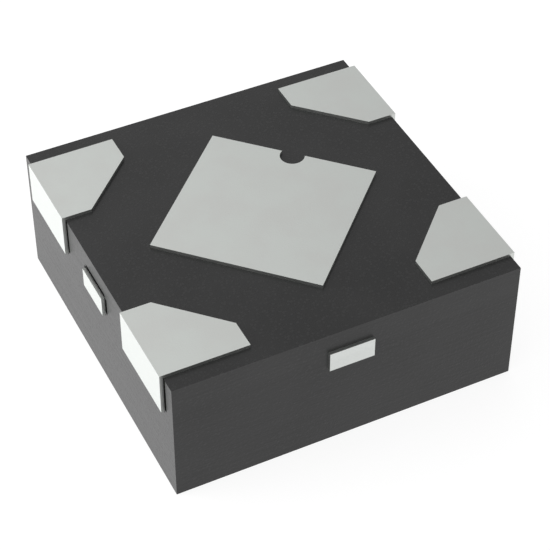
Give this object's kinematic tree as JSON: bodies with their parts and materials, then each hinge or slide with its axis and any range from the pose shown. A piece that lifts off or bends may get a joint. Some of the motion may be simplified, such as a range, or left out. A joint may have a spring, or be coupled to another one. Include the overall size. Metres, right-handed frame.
{
  "type": "linear voltage regulator",
  "caption": "Square moulded no-lead package lying on its back: corner solder terminals with slanted inner corners, a notched centre pad turned 45 degrees, and cut tie-bar ends on the sides.",
  "frame": {"origin": "middle of the centre pad's soldering face, in the plane where a circuit board would be", "axes": "+Z out of the soldering side, which faces up while the part lies on its marking face; +X along the body towards the pair of leads that holds terminals 1 and 2, which stand out of the +X side; terminal 1, by the pad's notch, is in the +X +Y corner"},
  "size_m": [0.001, 0.001, 0.0004],
  "materials": {
    "moulding": "matte",
    "plated_copper": "satin",
    "silver_paste": "satin",
    "silicon": "gloss",
    "gold_wire": "satin"
  },
  "bodies": {
    "root": {"mold_body": "moulding", "die_pad": "plated_copper", "lead_out": "plated_copper", "lead_gnd": "plated_copper", "lead_en": "plated_copper", "lead_in": "plated_copper", "die_attach": "silver_paste", "die": "silicon", "wire_out": "gold_wire", "wire_gnd": "gold_wire", "wire_en": "gold_wire", "wire_in": "gold_wire"}
  },
  "joints": []
}
